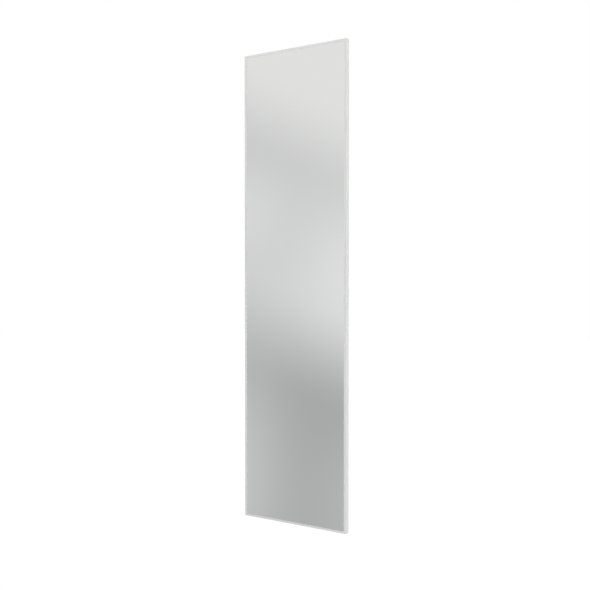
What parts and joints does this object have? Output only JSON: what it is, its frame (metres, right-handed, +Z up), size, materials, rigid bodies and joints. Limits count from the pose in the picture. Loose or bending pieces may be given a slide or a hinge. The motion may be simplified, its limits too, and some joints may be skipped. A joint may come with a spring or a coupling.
{
  "type": "full-length wall mirror",
  "caption": "Tall rectangular wall mirror in a slim white metal frame, with a backing board, spring clips, swinging ring hangers and wall bumpers behind.",
  "frame": {"origin": "middle of the mirror's bounding box, from the front plane of the frame to the backs of the wall bumpers", "axes": "+X to the right seen from the front, +Y from the mirror face back to the wall, +Z up"},
  "size_m": [0.4, 0.025, 1.6],
  "materials": {
    "frame_coating": "satin",
    "mirror_silver": "polished",
    "clear_film": "gloss",
    "foam": "matte",
    "hardboard": "satin",
    "glazing_tape": "matte",
    "black_rubber": "matte",
    "spring_steel": "satin",
    "zinc_steel": "satin",
    "blackened_steel": "satin",
    "nickel_steel": "polished"
  },
  "bodies": {
    "mirror": {"left_stile": "frame_coating", "right_stile": "frame_coating", "top_rail": "frame_coating", "bottom_rail": "frame_coating", "mirror_glass": "mirror_silver", "safety_film": "clear_film", "foam_sheet": "foam", "back_board": "hardboard", "glazing_tape_left": "glazing_tape", "glazing_tape_right": "glazing_tape", "glazing_tape_top": "glazing_tape", "glazing_tape_bottom": "glazing_tape", "setting_blocks": "black_rubber", "edge_cushions_left": "black_rubber", "edge_cushions_right": "black_rubber", "edge_cushions_top": "black_rubber", "spring_clip_left_1": "spring_steel", "spring_clip_left_2": "spring_steel", "spring_clip_left_3": "spring_steel", "spring_clip_left_4": "spring_steel", "spring_clip_left_5": "spring_steel", "spring_clip_right_1": "spring_steel", "spring_clip_right_2": "spring_steel", "spring_clip_right_3": "spring_steel", "spring_clip_right_4": "spring_steel", "spring_clip_right_5": "spring_steel", "spring_clip_top_1": "spring_steel", "spring_clip_top_2": "spring_steel", "spring_clip_bottom_1": "spring_steel", "spring_clip_bottom_2": "spring_steel", "corner_angle_bottom_left": "zinc_steel", "corner_shim_bottom_left": "spring_steel", "corner_angle_top_left": "zinc_steel", "corner_shim_top_left": "spring_steel", "corner_angle_top_right": "zinc_steel", "corner_shim_top_right": "spring_steel", "corner_angle_bottom_right": "zinc_steel", "corner_shim_bottom_right": "spring_steel", "corner_screws": "blackened_steel", "hanger_strap_left": "nickel_steel", "hanger_nut_left": "zinc_steel", "hanger_strap_right": "nickel_steel", "hanger_nut_right": "zinc_steel", "hanger_screws": "nickel_steel", "bumper_bottom_left": "black_rubber", "bumper_top_left": "black_rubber", "bumper_top_right": "black_rubber", "bumper_bottom_right": "black_rubber"},
    "hanger_ring_left": {"hanger_ring_left": "nickel_steel"},
    "hanger_ring_right": {"hanger_ring_right": "nickel_steel"}
  },
  "joints": [
    {"name": "hanger_ring_left_swing", "type": "hinge", "parent": "mirror", "child": "hanger_ring_left", "pos_m": [-0.19145, 0.0098, 0.64], "axis": [1, 0, 0], "range_deg": [0, 180]},
    {"name": "hanger_ring_right_swing", "type": "hinge", "parent": "mirror", "child": "hanger_ring_right", "pos_m": [0.19145, 0.0098, 0.64], "axis": [1, 0, 0], "range_deg": [0, 180]}
  ]
}
